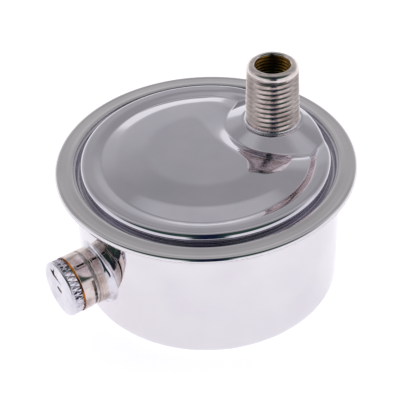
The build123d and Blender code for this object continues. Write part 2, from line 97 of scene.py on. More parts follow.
room = bpy.data.worlds.new("soft_studio")
room.use_nodes = True
tree = room.node_tree
tree.nodes.clear()
ray = add_node(tree, "TexCoord").outputs["Generated"]
turned_ray = add_node(tree, "Mapping", {"Vector": ray, "Rotation": (0, 0, camera_azimuth)}).outputs[0]
axes = add_node(tree, "SeparateXYZ", {0: turned_ray}).outputs
sideways = add_node(tree, "Math", {0: axes["X"]}, operation="ABSOLUTE").outputs[0]
tilt = add_node(tree, "Math", {0: axes["Z"], 1: axes["Y"]}, operation="ARCTAN2").outputs[0]
share = add_node(tree, "Math", {0: tilt, 1: pi}, operation="DIVIDE", use_clamp=True).outputs[0]
ceiling = add_node(
    tree,
    "ValToRGB",
    {0: share},
    stops=[(angle / 180, (level, level, level, 1)) for angle, level in room_bands],
).outputs[0]
behind = add_node(
    tree, "MapRange", {"Value": share, "From Min": 95 / 180, "From Max": 106 / 180}
).outputs[0]
off_middle = add_node(
    tree, "MapRange", {"Value": sideways, "From Min": 0.08, "From Max": 0.25}
).outputs[0]
dark = add_node(
    tree, "Mix", {0: off_middle, 6: dark_middle, 7: dark_sides}, data_type="RGBA"
).outputs[2]
upper = add_node(tree, "Mix", {0: behind, 6: ceiling, 7: dark}, data_type="RGBA").outputs[2]
low = add_node(
    tree, "MapRange", {"Value": axes["Z"], "From Min": 0.56, "From Max": 0.44}
).outputs[0]
beside_camera = add_node(
    tree, "MapRange", {"Value": sideways, "From Min": 0.2, "From Max": 0.32}
).outputs[0]
near_side = add_node(
    tree, "MapRange", {"Value": axes["Y"], "From Min": 0.55, "From Max": 0.1}
).outputs[0]
lit = add_node(tree, "Math", {0: low, 1: beside_camera}, operation="MULTIPLY").outputs[0]
lit = add_node(tree, "Math", {0: lit, 1: near_side}, operation="MULTIPLY").outputs[0]
reflected = add_node(tree, "Mix", {0: lit, 6: upper, 7: low_light}, data_type="RGBA").outputs[2]
seen = add_node(tree, "LightPath").outputs["Is Camera Ray"]
colour = add_node(tree, "Mix", {0: seen, 6: reflected, 7: (1, 1, 1, 1)}, data_type="RGBA").outputs[2]
light = add_node(tree, "Background", {"Color": colour}).outputs[0]
add_node(tree, "OutputWorld", {"Surface": light})
scene.world = room

table_mesh = bpy.data.meshes.new("studio_table")
half = table_size / 2
table_mesh.from_pydata(
    [(-half, -half, 0), (half, -half, 0), (half, half, 0), (-half, half, 0)], [], [(0, 1, 2, 3)]
)
table = bpy.data.objects.new("studio_table", table_mesh)
scene.collection.objects.link(table)

# White acrylic sheet, lit from below: nearly shadowless
table_sheet = bpy.data.materials.new("white_acrylic_sheet")
table_sheet.use_nodes = True
tree = table_sheet.node_tree
tree.nodes.clear()
sheet_shader = add_node(
    tree,
    "BsdfPrincipled",
    {
        "Base Color": linear("#f4f4f6"),
        "Roughness": 0.6,
        "Emission Color": linear("#fdfcff"),
        "Emission Strength": 0.72,
    },
).outputs[0]
add_node(tree, "OutputMaterial", {"Surface": sheet_shader})
table_mesh.materials.append(table_sheet)

# ================= Pot
# A steel cup drawn from 0.6 mm sheet, its flange rolled over the cover's edge and back flat. It
# is polished and chrome plated, with faint rings on the rolled flange from the polishing wheel.
def node_box(name):
    """Lowest and highest corners of a CAD node, in millimetres."""
    low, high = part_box(name)
    return np.array(low) * 1000, np.array(high) * 1000


pot_low, pot_high = node_box("pot_shell")
flange_radius, hem_top = pot_high[0], pot_high[2]
pot_sheet = 0.6
flange_width = 4.0
hem_inset = 0.5
base_bend = 2.0
hem_dish = 0.13
hem_bend = 0.9
pot_radius = flange_radius - flange_width
pot_bore = pot_radius - pot_sheet
pot_height = hem_top - 1.9
pot_turns = 384
wall_hole_radius = 5.6


def bent_path(corners, bends, steps=9, hold=0.06):
    """Points along straight runs through the corners, each corner an arc of its bend's radius.

    The arc touches both runs at the same distance from the corner, bend / tan(half the angle).
    A point stands just off each end of an arc, so that the flat beyond it shades flat.
    """
    points = [np.array([corners[0]], float)]
    for before, corner, after, bend in zip(corners[:-2], corners[1:-1], corners[2:], bends):
        before, corner, after = np.array(before), np.array(corner), np.array(after)
        back, ahead = before - corner, after - corner
        room_back, room_ahead = np.linalg.norm(back), np.linalg.norm(ahead)
        back, ahead = back / room_back, ahead / room_ahead
        half_angle = np.arccos(np.clip(back @ ahead, -1, 1)) / 2
        if bend == 0:
            points.append([corner])
            continue
        reach = bend / np.tan(half_angle)
        middle = corner + (back + ahead) / np.linalg.norm(back + ahead) * bend / np.sin(half_angle)
        start, end = corner + back * reach - middle, corner + ahead * reach - middle
        sweep = pi - 2 * half_angle
        share = np.linspace(0, 1, steps)[:, None]
        arc = middle + (start * np.sin((1 - share) * sweep) + end * np.sin(share * sweep)) / np.sin(sweep)
        lead = min(hold, (room_back - reach) / 3)
        tail = min(hold, (room_ahead - reach) / 3)
        points += [[corner + back * (reach + lead)], arc, [corner + ahead * (reach + tail)]]
    points.append([corners[-1]])
    return np.concatenate(points)


def turned(outline, turns, centre=0.0):
    """Grid of an outline (radius, height) carried round an upright axis at (centre, 0).

    x = centre + radius cos(turn), y = radius sin(turn), z = height.
    """
    turn = np.linspace(0, 2 * pi, turns, endpoint=False)
    radius, height = outline[:, :1], outline[:, 1:]
    return np.stack(
        [centre + radius * np.cos(turn), radius * np.sin(turn), height + 0 * turn], axis=-1
    )


def skin(name, grid, closed_columns=True, closed_rows=False, crease=32):
    """Piece from a grid of points (rows, columns, xyz), one quad between each four neighbours.

    Points that fall together, at poles and seams, are merged, and faces are turned outwards.
    """
    rows, columns = grid.shape[:2]
    place = np.arange(rows * columns).reshape(rows, columns)
    if closed_columns:
        place = np.concatenate([place, place[:, :1]], axis=1)
    if closed_rows:
        place = np.concatenate([place, place[:1]], axis=0)
    quads = np.stack([place[:-1, :-1], place[:-1, 1:], place[1:, 1:], place[1:, :-1]], axis=-1)
    mesh = bpy.data.meshes.new(name)
    mesh.from_pydata(grid.reshape(-1, 3) / 1000, [], quads.reshape(-1, 4))
    work = bmesh.new()
    work.from_mesh(mesh)
    bmesh.ops.remove_doubles(work, verts=work.verts, dist=2e-7)
    bmesh.ops.dissolve_degenerate(work, edges=work.edges, dist=1e-7)
    bmesh.ops.recalc_face_normals(work, faces=work.faces)
    work.to_mesh(mesh)
    work.free()
    mesh.shade_smooth()
    mesh.set_sharp_from_angle(angle=radians(crease))
    piece = bpy.data.objects.new(name, mesh)
    scene.collection.objects.link(piece)
    return piece


def cut_away(piece, cutter, crease=32):
    """Take the cutter's space out of a piece, and remove the cutter."""
    cut = piece.modifiers.new("cut", "BOOLEAN")
    cut.object = cutter
    cut.operation = "DIFFERENCE"
    cut.solver = "EXACT"
    shape = bpy.data.meshes.new_from_object(
        piece.evaluated_get(bpy.context.evaluated_depsgraph_get())
    )
    piece.modifiers.clear()
    piece.data = shape
    shape.shade_smooth()
    shape.set_sharp_from_angle(angle=radians(crease))
    bpy.data.objects.remove(cutter)


arm_low, arm_high = node_box("adjuster_cap")
arm_height = (arm_low[2] + arm_high[2]) / 2
arm_radius = (arm_high[2] - arm_low[2]) / 2


def about_arm(distance, radius, angle):
    """Grid about the arm's axis: distance out from the pot, radius, and angle as seen from outside.

    x = -distance, y = -radius cos(angle), z = arm height + radius sin(angle).
    """
    return np.stack(
        [-distance + 0 * angle, -radius * np.cos(angle), arm_height + radius * np.sin(angle)], axis=-1
    )


def round_angles(count=192):
    return np.linspace(0, 2 * pi, count, endpoint=False)


inside = pot_sheet
pot_outline = bent_path(
    [
        (0, 0),
        (pot_radius, 0),
        (pot_radius, pot_height),
        (flange_radius, pot_height),
        (flange_radius, hem_top),
        (flange_radius - 1.6, hem_top - hem_dish),
        (flange_radius - 2.9, hem_top - hem_dish),
        (flange_radius - 3.9, hem_top),
        (pot_radius - hem_inset, hem_top - 0.1),
        (pot_radius - hem_inset, hem_top - inside),
        (flange_radius - inside, hem_top - inside),
        (flange_radius - inside, pot_height + inside),
        (pot_bore, pot_height + inside),
        (pot_bore, inside),
        (0, inside),
    ],
    [base_bend, 0.6, hem_bend, hem_bend, 3.0, 3.0, 1.2, 0.2, 0.2, 0.3, 0.3, 1.2, base_bend - inside],
)
drawn_pot = skin("drawn_pot", turned(pot_outline, pot_turns))
wall_cutter = skin(
    "wall_cutter",
    about_arm(
        np.array([pot_bore - 4, pot_bore - 4, pot_radius + 3, pot_radius + 3])[:, None],
        np.array([0, wall_hole_radius, wall_hole_radius, 0])[:, None],
        round_angles(64),
    ),
)
cut_away(drawn_pot, wall_cutter)


def plain_shader(name, **sockets):
    """A material of one Principled shader, whose Object coordinates are ready for patterns."""
    material = bpy.data.materials.new(name)
    material.use_nodes = True
    tree = material.node_tree
    tree.nodes.clear()
    place = add_node(tree, "TexCoord").outputs["Object"]
    shader = add_node(
        tree, "BsdfPrincipled", {word.replace("_", " "): value for word, value in sockets.items()}
    )
    add_node(tree, "OutputMaterial", {"Surface": shader.outputs[0]})
    return material, tree, place, shader


def bright_chrome(name, tint, clouds, centre=0.0, haze=(0.03, 0.075), wave=0.9, rings=0.25):
    """Chrome over polished sheet: a cool mirror with a slow waviness, buffing rings and clouds.

    wave and rings are heights in micrometres; clouds is the tint of the duller patches.
    """
    material, tree, place, shader = plain_shader(name, Metallic=1.0)
    centred = add_node(tree, "Mapping", {"Vector": place, "Location": (-centre / 1000, 0, 0)}).outputs[0]
    # Patches about 12 mm wide
    patch = add_node(
        tree, "TexNoise", {"Vector": place, "Scale": 85.0, "Detail": 3.0, "Roughness": 0.55}
    ).outputs["Fac"]
    colour = add_node(
        tree, "ValToRGB", {0: patch}, stops=[(0.35, linear(tint)), (0.72, linear(clouds))]
    ).outputs[0]
    # Rings 0.25 mm apart, about the pot's axis
    axes = add_node(tree, "SeparateXYZ", {0: centred}).outputs
    level = add_node(tree, "CombineXYZ", {"X": axes["X"], "Y": axes["Y"]}).outputs[0]
    radius = add_node(tree, "VectorMath", {0: level}, operation="LENGTH").outputs["Value"]
    ring = add_node(
        tree,
        "TexNoise",
        {"W": radius, "Scale": 4000.0, "Detail": 2.0},
        noise_dimensions="1D",
    ).outputs["Fac"]
    dull = add_node(
        tree,
        "MapRange",
        {"Value": patch, "From Min": 0.3, "From Max": 0.75, "To Min": haze[0], "To Max": haze[1]},
    ).outputs[0]
    tree.links.new(colour, shader.inputs["Base Color"])
    tree.links.new(dull, shader.inputs["Roughness"])
    # Slow waves about 7 mm long, left by pressing
    slow = add_node(tree, "TexNoise", {"Vector": place, "Scale": 140.0, "Detail": 1.0}).outputs["Fac"]
    waved = add_node(
        tree, "Bump", {"Height": slow, "Distance": wave * 1e-6, "Strength": 1.0}
    ).outputs[0]
    ringed = add_node(
        tree, "Bump", {"Height": ring, "Distance": rings * 1e-6, "Strength": 1.0, "Normal": waved}
    ).outputs[0]
    tree.links.new(ringed, shader.inputs["Normal"])
    return material


# Chrome plate on drawn steel: near-white with a lavender cast
pot_chrome = bright_chrome("chrome_on_drawn_steel", "#e4e0e4", "#dcd8de")
drawn_pot.data.materials.clear()
drawn_pot.data.materials.append(pot_chrome)
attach(drawn_pot, "housing")
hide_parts("pot_shell")

# ================= Rim gasket
# A thin fibre ring pinched between the pot's flange and the cover, dark with sealing varnish. It
# is hidden by the rolled flange.
def dress(node, material):
    """Give a CAD node its finish."""
    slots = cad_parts[node].data.materials
    slots.clear()
    slots.append(material)


def pressed_fibre(name, pale, deep, grain):
    """Pressed fibre sheet: a matt, mottled card, with grains `grain` millimetres long."""
    material, tree, place, shader = plain_shader(name, Roughness=0.82)
    speck = add_node(
        tree, "TexNoise", {"Vector": place, "Scale": 1000 / grain, "Detail": 5.0, "Roughness": 0.7}
    ).outputs["Fac"]
    colour = add_node(
        tree, "ValToRGB", {0: speck}, stops=[(0.3, linear(deep)), (0.7, linear(pale))]
    ).outputs[0]
    rough = add_node(tree, "Bump", {"Height": speck, "Distance": 3e-5, "Strength": 0.6}).outputs[0]
    tree.links.new(colour, shader.inputs["Base Color"])
    tree.links.new(rough, shader.inputs["Normal"])
    return material


# Vulcanised fibre, varnished: dull black-brown
dark_fibre = pressed_fibre("varnished_fibre_sheet", "#3a3029", "#17130f", 0.5)
dress("rim_gasket", dark_fibre)

# ================= Cover
# One pressed steel disc, polished and chrome plated: a low dome with a raised pad for the nipple,
# a flat ring round the dome, a rounded shoulder and a channel that drops inside the pot's wall.
cover_low, cover_high = node_box("cover_plate")
cover_sheet = 0.5
crown = cover_high[2]
cover_edge = cover_high[0]
channel_floor = cover_low[2] + cover_sheet
cover_level = channel_floor + 1.9
channel_outer = pot_bore - 0.6
shoulder_radius = channel_outer - 1.0
shoulder_bend = 1.5
channel_bend = 0.45
ring_level = cover_level + 2.1
crease_radius = 25.5
crease_level = ring_level - 0.5
dome_radius = 150.0
skirt_slope = 0.31
ring_slope = 0.25

nipple_low, nipple_high = node_box("inlet_nipple")
solder_low, solder_high = node_box("nipple_solder_ring")
nipple_x = (solder_low[0] + solder_high[0]) / 2
pad_level = solder_low[2]
solder_radius = solder_high[1]
pad_radius = solder_radius + 0.34
pad_slope = tan(radians(24))
boss_width = 4.2
valley_radius = pad_radius + boss_width
dip_depth = 1.9
dip_reach = 9.0
nipple_hole = 5.63


def soft_least(first, second, width):
    """The lower of two heights, the corner between them rounded where they differ by < width."""
    share = np.clip(0.5 + 0.5 * (second - first) / width, 0, 1)
    return second + (first - second) * share - width * share * (1 - share)


def soft_most(first, second, width):
    return -soft_least(-first, -second, width)


def lid_height(x, y):
    """Height of the cover's face inside its shoulder.

    A shallow sphere, steeper at its skirt, meets the ring at a crease. A broad dip round the
    nipple lowers it, and the pad's cone rises inside the dip.
    """
    radius = np.hypot(x, y)
    spread = np.hypot(x - nipple_x, y)
    sphere = crown - radius**2 / (2 * dome_radius)
    skirt = crease_level + (crease_radius - radius) * skirt_slope
    ring = crease_level + (radius - crease_radius) * ring_slope
    face = soft_most(soft_least(sphere, skirt, 0.14), soft_least(ring, ring_level, 0.16), 0.12)
    inward = np.clip(1 - (spread - valley_radius) / dip_reach, 0, 1.3)
    cone = pad_level - (spread - pad_radius) * pad_slope
    face = soft_most(face - dip_depth * inward**2, cone, 0.25)
    return soft_least(face, pad_level + 0 * face, 0.09)


def lid_surface(depth, turns, steps):
    """Rows of circles from the nipple's hole out to the cover's edge, at a depth in the sheet.

    The circles' centre moves from the nipple's axis to the pot's as they grow, so that no two
    cross, then they follow the shoulder and the channel.
    """
    turn = np.linspace(0, 2 * pi, turns, endpoint=False)
    grow = np.linspace(0, 1, steps)[1:]
    on_pad = np.linspace(nipple_hole, pad_radius - 0.3, 4)
    near = np.concatenate([on_pad, pad_radius + np.linspace(-0.2, 0.5, 8)])
    bend_start = shoulder_radius - shoulder_bend
    centre = np.concatenate([nipple_x + 0 * near, nipple_x * (1 - grow)])[:, None]
    radius = np.concatenate([near, near[-1] + (bend_start - near[-1]) * grow])[:, None]
    x, y = centre + radius * np.cos(turn), radius * np.sin(turn)
    face = np.stack([x, y, lid_height(x, y) - depth], axis=-1)

    lean = np.linspace(0, pi / 2, 14)[1:, None]
    radius = bend_start + shoulder_bend * np.sin(lean)
    height = lid_height(radius * np.cos(turn), radius * np.sin(turn)) - shoulder_bend * (1 - np.cos(lean))
    inner = radius - depth * np.sin(lean)
    shoulder = np.stack([inner * np.cos(turn), inner * np.sin(turn), height - depth * np.cos(lean)], axis=-1)

    channel = bent_path(
        [
            (shoulder_radius - depth, channel_floor + 1.2),
            (shoulder_radius - depth, channel_floor - depth),
            (channel_outer + depth, channel_floor - depth),
            (channel_outer + depth, cover_level - depth),
            (cover_edge, cover_level - depth),
        ],
        [channel_bend + depth] * 3,
        steps=7,
    )
    return np.concatenate([face, shoulder, turned(channel, turns)])


lid_turns = 352
top = lid_surface(0, lid_turns, 130)
under = lid_surface(cover_sheet, lid_turns, 36)[::-1]
pressed_cover = skin("pressed_cover", np.concatenate([top, under]), closed_rows=True, crease=40)
# Chrome plate on pressed steel: the pot's finish with a little more wave round the pad
cover_chrome = bright_chrome("chrome_on_pressed_cover", "#d8d5dd", "#d0cdd8", wave=1.6, rings=0.12)
pressed_cover.data.materials.append(cover_chrome)
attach(pressed_cover, "housing")
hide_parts("cover_plate")

# ================= Inlet nipple
# Turned brass, nickel plated outside: 1/4 inch taper thread outside, 1/8 inch thread in the bare
# brass bore. Its spigot goes through the pad and is staked over underneath.
nipple_top = nipple_high[2]
crest_small = 6.35
thread_taper = 1 / 32
thread_pitch = 1.337
thread_depth = 0.85
thread_rows = 14
foot_length = 0.3
lip_bend = 1.45
lip_length = 1.6
bore_radius = 4.37
bore_pitch = 0.907
bore_depth = 0.58
bore_rows = 10
bore_thread_length = 11.0
mouth_chamfer = 0.3
foot_radius = solder_radius - 0.75
spigot_radius = nipple_hole - 0.05
staked_radius = spigot_radius + 1.0
staked_thickness = 0.6


def helix(radius_at, start, end, pitch, depth, rows, turns, fades):
    """Rows of a screw thread, each following the helix, from height start to end.

    height = first height + row pitch / rows + pitch turn / 2 pi, held between start and end.
    radius = radius_at(height) - depth groove(row) fade, where groove is a rounded V, 0 at the
    crest and 1 at the root, and fade runs the thread out over `fades` turns at each end.
    """
    turn = np.linspace(0, 2 * pi, turns + 1)
    row = np.arange(-rows, int((end - start) / pitch * rows) + 2)[:, None]
    height = start + row * pitch / rows + pitch * turn / (2 * pi)
    height = np.clip(height, start, end)
    phase = (row % rows) / rows
    groove = 0.72 * np.abs(2 * phase - 1) + 0.28 * (0.5 + 0.5 * np.cos(2 * pi * phase))
    fade_in = np.clip((height - start) / (pitch * fades[0]), 0, 1)
    fade = fade_in * np.clip((end - height) / (pitch * fades[1]), 0, 1)
    radius = radius_at(height) - depth * groove * fade
    return radius, height, turn


def crest_at(height):
    return crest_small + (nipple_top - height) * thread_taper


def upright(radius, height, turn, centre):
    return np.stack([centre + radius * np.cos(turn), radius * np.sin(turn), height], axis=-1)


thread_start, thread_end = pad_level + foot_length, nipple_top - lip_length
bore_start, bore_end = nipple_top - mouth_chamfer - bore_thread_length, nipple_top - mouth_chamfer - 0.1
nipple_turns = 216
outer = helix(
    crest_at, thread_start, thread_end, thread_pitch, thread_depth, thread_rows, nipple_turns, (0.35, 0.12)
)
inner = helix(
    lambda h: bore_radius + 0 * h,
    bore_start,
    bore_end,
    bore_pitch,
    -bore_depth,
    bore_rows,
    nipple_turns,
    (0.5, 0.3),
)
full_turn = outer[2]
below = bent_path(
    [
        (bore_radius, bore_start - 0.2),
        (bore_radius, nipple_low[2]),
        (staked_radius, nipple_low[2]),
        (staked_radius, nipple_low[2] + staked_thickness),
        (spigot_radius, nipple_low[2] + staked_thickness),
        (spigot_radius, pad_level),
        (foot_radius, pad_level),
        (foot_radius, pad_level + foot_length * 0.5),
    ],
    [0.1, 0.2, 0.1, 0, 0, 0],
    steps=4,
)
lip = bent_path(
    [
        (crest_small, nipple_top - lip_length + 0.05),
        (crest_small, nipple_top),
        (bore_radius + mouth_chamfer, nipple_top),
        (bore_radius, nipple_top - mouth_chamfer),
        (bore_radius, nipple_top - mouth_chamfer - 0.08),
    ],
    [lip_bend, 0.25, 0.2],
    steps=10,
)
rings = [
    upright(path[:, :1] + 0 * full_turn, path[:, 1:] + 0 * full_turn, full_turn, nipple_x)
    for path in (below, lip)
]
nipple_grid = np.concatenate([rings[0], upright(*outer, nipple_x), rings[1], upright(*inner, nipple_x)[::-1]])
threaded_nipple = skin("threaded_nipple", nipple_grid, closed_columns=False, closed_rows=True, crease=50)


def worn_nickel(name, tint, shade, grain=0.6, haze=(0.12, 0.26), depth=4e-6):
    """Nickel plate over turned brass: a warm, slightly hazy metal with a pinkish film in patches.

    The film's patches are about 4 mm wide and the plating's grain is `grain` mm.
    """
    material, tree, place, shader = plain_shader(name, Metallic=1.0)
    film = add_node(
        tree, "TexNoise", {"Vector": place, "Scale": 250.0, "Detail": 4.0, "Roughness": 0.6}
    ).outputs["Fac"]
    colour = add_node(
        tree, "ValToRGB", {0: film}, stops=[(0.32, linear(shade)), (0.6, linear(tint))]
    ).outputs[0]
    fine = add_node(
        tree, "TexNoise", {"Vector": place, "Scale": 1000 / grain, "Detail": 3.0}
    ).outputs["Fac"]
    dull = add_node(
        tree,
        "MapRange",
        {"Value": film, "From Min": 0.35, "From Max": 0.65, "To Min": haze[1], "To Max": haze[0]},
    ).outputs[0]
    pitted = add_node(
        tree, "Bump", {"Height": fine, "Distance": depth, "Strength": 1.0}
    ).outputs[0]
    tree.links.new(colour, shader.inputs["Base Color"])
    tree.links.new(dull, shader.inputs["Roughness"])
    tree.links.new(pitted, shader.inputs["Normal"])
    return material


def bare_brass(name, bright, dull_colour, grain=1.5, haze=(0.28, 0.5)):
    """Turned or stamped brass, browned by steam in patches about `grain` mm wide."""
    material, tree, place, shader = plain_shader(name, Metallic=1.0)
    stain = add_node(
        tree, "TexNoise", {"Vector": place, "Scale": 1000 / grain, "Detail": 5.0, "Roughness": 0.6}
    ).outputs["Fac"]
    colour = add_node(
        tree, "ValToRGB", {0: stain}, stops=[(0.3, linear(dull_colour)), (0.66, linear(bright))]
    ).outputs[0]
    dull = add_node(
        tree,
        "MapRange",
        {"Value": stain, "From Min": 0.3, "From Max": 0.7, "To Min": haze[1], "To Max": haze[0]},
    ).outputs[0]
    rough = add_node(tree, "Bump", {"Height": stain, "Distance": 1.5e-5, "Strength": 0.6}).outputs[0]
    tree.links.new(colour, shader.inputs["Base Color"])
    tree.links.new(dull, shader.inputs["Roughness"])
    tree.links.new(rough, shader.inputs["Normal"])
    return material


# Nickel plate on turned brass: silver with a beige-pink warmth; bare brass inside, brown-olive
nipple_nickel = worn_nickel("nickel_on_turned_brass", "#e6dddb", "#c6b7b5")
bore_brass = bare_brass("steamed_brass_bore", "#a8803c", "#4a2c12", grain=2.5, haze=(0.16, 0.34))
threaded_nipple.data.materials.append(nipple_nickel)
threaded_nipple.data.materials.append(bore_brass)


def paint_faces(piece, chosen, slot_number):
    """Give a slot to the faces whose middles, in millimetres, satisfy `chosen`."""
    mesh = piece.data
    middles = np.empty(len(mesh.polygons) * 3)
    mesh.polygons.foreach_get("center", middles)
    middles = middles.reshape(-1, 3) * 1000
    numbers = np.empty(len(mesh.polygons), np.int32)
    mesh.polygons.foreach_get("material_index", numbers)
    numbers[chosen(middles)] = slot_number
    mesh.polygons.foreach_set("material_index", numbers)


def in_bore(middles):
    spread = np.hypot(middles[:, 0] - nipple_x, middles[:, 1])
    return (spread < bore_radius + bore_depth + 0.05) & (middles[:, 2] < nipple_top - mouth_chamfer - 0.02)


paint_faces(threaded_nipple, in_bore, 1)
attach(threaded_nipple, "housing")
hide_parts("inlet_nipple")

# ================= Solder ring
# Soft solder run round the nipple's foot from a preformed ring: a bright, hollow, slightly uneven
# fillet between the nipple and the pad.
solder_height = solder_high[2] - solder_low[2]
chance = np.random.default_rng(7)


def uneven(angle, size, waves):
    """A smooth wobble round a ring: a sum of sines of whole turns, with random sizes and starts."""
    count = np.arange(2, 2 + waves)[:, None]
    weight = chance.normal(0, 1, (waves, 1)) / np.sqrt(count)
    start = chance.uniform(0, 2 * pi, (waves, 1))
    return size * (weight * np.sin(count * angle + start)).sum(axis=0) / np.sqrt(waves)


turn = np.linspace(0, 2 * pi, 256, endpoint=False)
spread_edge = np.minimum(solder_radius - 0.12 + uneven(turn, 0.10, 9), solder_radius)
climb = np.minimum(solder_height - 0.12 + uneven(turn, 0.12, 11), solder_height)
lean = np.linspace(0, pi / 2, 12)[:, None]
inner_radius = foot_radius - 0.25
hollow_radius = foot_radius + (spread_edge - foot_radius) * (1 - np.sin(lean) * 0.92)
hollow_height = pad_level + climb * (1 - np.cos(lean) * 0.98)
fillet = np.concatenate(
    [
        upright(inner_radius + 0 * turn, pad_level + 0 * turn, turn, nipple_x)[None],
        upright(spread_edge, pad_level + 0 * turn, turn, nipple_x)[None],
        upright(hollow_radius, hollow_height, turn, nipple_x),
        upright(inner_radius + 0 * turn, pad_level + climb, turn, nipple_x)[None],
    ]
)
solder_fillet = skin("solder_fillet", fillet, closed_rows=True, crease=60)
# Soft tin solder: a pale, cool metal, satin where it has frosted
solder = worn_nickel("frosted_tin_solder", "#e6e3ea", "#bdb8c4", grain=0.35, haze=(0.16, 0.34), depth=9e-6)
solder_fillet.data.materials.append(solder)
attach(solder_fillet, "housing")
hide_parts("nipple_solder_ring")

# ================= Collar
# The arm's fixed half: a turned brass tube saddled on the pot's wall, its threaded tail through
# the wall and its plain spigot inside the barrel. Nickel plated, with an engraved index line.
collar_low, collar_high = node_box("port_collar")
washer_low, washer_high = node_box("friction_washer")
barrel_low, barrel_high = node_box("valve_barrel")
collar_end = -washer_high[0]
barrel_start = -barrel_high[0]
spigot_end = -collar_low[0]
tail_end = -collar_high[0]
spigot_outside = 5.0
tail_radius = 5.5
port_radius = 3.0
port_end = barrel_start + 2.4
vent_hole = 0.8
ridge_places = (35.22, 35.74)
ridge_width = 0.22
ridge_depth = 0.12
mark_angle = radians(72)
mark_width = 0.5
mark_depth = 0.3
burr_height = 0.04
collar_mark = (collar_end - 1.9, 1.3)
collar_plain = collar_end - 2.75


def wall_distance(radius, angle):
    """How far out the pot's wall stands at a radius and angle about the arm: a saddle curve."""
    return np.sqrt(pot_radius**2 - (radius * np.cos(angle)) ** 2)


def engraved(distance, angle, mark):
    """Depth of an index line along the arm: a flat-bottomed groove with a burr at each edge.

    mark is its middle and its length; the edge's distance is that of the farther side.
    """
    along = np.abs(distance - mark[0]) - mark[1] / 2
    across = np.abs((angle - mark_angle) * arm_radius) - mark_width / 2
    edge = np.maximum(along, across)
    groove = mark_depth * np.clip(0.5 - edge / 0.1, 0, 1)
    return groove - burr_height * np.exp(-(((edge - 0.14) / 0.08) ** 2))


def angles_round(count, *places, reach=0.075, extra=44):
    """Even angles round the arm, with closer ones near the given places."""
    tight = [place + np.linspace(-reach, reach, extra) for place in places]
    even = np.linspace(0, 2 * pi, count, endpoint=False)
    return np.unique(np.round(np.concatenate([even, *tight]) % (2 * pi), 7))


angle = angles_round(224, mark_angle)
grooves = [
    (start + shift * ridge_width, arm_radius - drop * ridge_depth)
    for start in ridge_places
    for shift, drop in ((-0.5, 0), (0, 1), (1, 1), (1.5, 0))
]
spigot_path = bent_path(
    [
        (spigot_end, 0),
        (spigot_end, spigot_outside),
        (collar_end, spigot_outside),
        (collar_end, arm_radius),
        (collar_end - 0.12, arm_radius),
    ],
    [0.2, 0, 0.1],
    steps=4,
)
ridge_path = np.array(grooves)[::-1]
fine_path = np.linspace(ridge_path[-1, 0] - 0.05, collar_plain, 44)[:, None]
fine_path = np.concatenate([fine_path, arm_radius + 0 * fine_path], axis=1)
tail_path = bent_path(
    [
        (pot_bore - 2.2, tail_radius),
        (tail_end, tail_radius),
        (tail_end, port_radius),
        (port_end, port_radius),
        (port_end, 0),
    ],
    [0.3, 0.2, 0.1],
    steps=4,
)
rows = []
for path in (spigot_path, ridge_path, fine_path):
    distance = path[:, :1] + 0 * angle
    radius = path[:, 1:] - engraved(distance, angle, collar_mark) * (path[:, 1:] > tail_radius)
    rows.append(about_arm(distance, radius, angle))
to_wall = np.linspace(0, 1, 6)[1:, None]
saddle = collar_plain + (wall_distance(arm_radius, angle) - collar_plain) * to_wall
rows.append(about_arm(saddle, arm_radius + 0 * saddle, angle))
inward = np.linspace(arm_radius, tail_radius, 5)[1:, None] + 0 * angle
rows.append(about_arm(wall_distance(inward, angle), inward, angle))
rows.append(about_arm(tail_path[:, :1] + 0 * angle, tail_path[:, 1:] + 0 * angle, angle))
arm_collar = skin("arm_collar", np.concatenate(rows), crease=38)

hole_rows = np.array([(0, 0), (0, vent_hole), (-9, vent_hole), (-9, 0)], float)
hole_cutter = turned(np.stack([hole_rows[:, 1], hole_rows[:, 0] + arm_height], axis=1), 48)
hole_cutter[..., 0] -= barrel_start + vent_hole
cut_away(arm_collar, skin("hole_cutter", hole_cutter), crease=38)

# Nickel plate on turned brass, handled and steamed: pinkish grey-brown on top
arm_nickel = worn_nickel(
    "nickel_on_arm_brass", "#d9cdcb", "#ab9a94", grain=0.45, haze=(0.07, 0.17), depth=3e-6
)
# Dirt and tarnish in the engraved lines: dark umber
mark_dirt = pressed_fibre("tarnish_in_engraving", "#4a3a33", "#241a16", 0.3)
mark_stop = -arm_high[0] - 0.7


def in_mark(middles):
    angles = np.arctan2(middles[:, 2] - arm_height, -middles[:, 1])
    radius = np.hypot(middles[:, 1], middles[:, 2] - arm_height)
    near = np.abs(angles - mark_angle) * arm_radius < mark_width / 2 + 0.03
    sunk = (radius < arm_radius - 0.12) & (radius > arm_radius - mark_depth - 0.02)
    return near & sunk & (middles[:, 0] > -mark_stop)


arm_collar.data.materials.clear()
arm_collar.data.materials.append(arm_nickel)
arm_collar.data.materials.append(mark_dirt)
paint_faces(arm_collar, in_mark, 1)
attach(arm_collar, "housing")
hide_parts("port_collar")

# ================= Braze flare
# A skirt of silver braze where the collar meets the pot, drawn out over the wall by the torch and
# chrome plated with the pot.
flare_low, flare_high = node_box("port_flare")
flare_end = -flare_low[0]
flare_radius = (flare_high[1] - flare_low[1]) / 2
flare_angle = np.linspace(0, 2 * pi, 256, endpoint=False)
flare_margin = 0.12
flare_wobble = 0.07
flare_edge = flare_radius - flare_margin + uneven(flare_angle, flare_wobble, 12)
flare_edge = np.minimum(flare_edge, flare_radius - 0.02)
sweep = np.linspace(0, pi / 2, 18)[:, None]
radius = flare_edge - (flare_edge - arm_radius) * np.sin(sweep) ** 0.9
rise = (flare_end - wall_distance(arm_radius, flare_angle)) * (1 - np.cos(sweep)) ** 1.1
outside = about_arm(wall_distance(radius, flare_angle) + rise, radius, flare_angle)
tucked = arm_radius - 0.25 + 0 * flare_angle
neck = about_arm(wall_distance(arm_radius, flare_angle) + rise[-1], tucked, flare_angle)[None]
